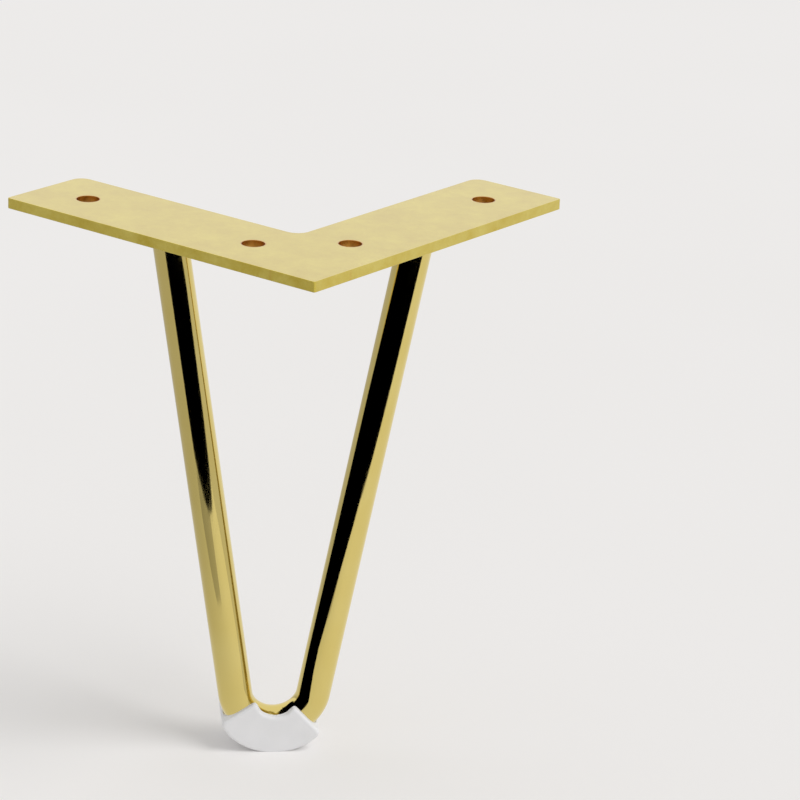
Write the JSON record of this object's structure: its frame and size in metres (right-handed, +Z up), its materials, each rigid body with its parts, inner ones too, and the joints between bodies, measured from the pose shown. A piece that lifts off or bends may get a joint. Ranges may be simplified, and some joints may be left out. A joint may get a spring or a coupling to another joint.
{
  "type": "hairpin furniture leg",
  "caption": "Short hairpin sofa leg: a bent round bar welded under an L-shaped plate with screw holes, with a plastic floor protector on its bend.",
  "frame": {"origin": "on the plate's upper face, where the centre lines of its two arms cross", "axes": "+Z up, out of the plate's upper face; +Y along the line that halves the L, away from its outer corner; +X to the right arm's side"},
  "size_m": [0.155, 0.0973, 0.1658],
  "materials": {
    "plate_plating": "satin brass plating on steel",
    "rod_plating": "polished brass plating on steel",
    "foot_plastic": "moulded, satin white"
  },
  "bodies": {
    "root": {"mounting_plate": "plate_plating", "hairpin_rod": "rod_plating", "left_weld": "plate_plating", "right_weld": "plate_plating", "foot_cap": "foot_plastic"}
  },
  "joints": []
}
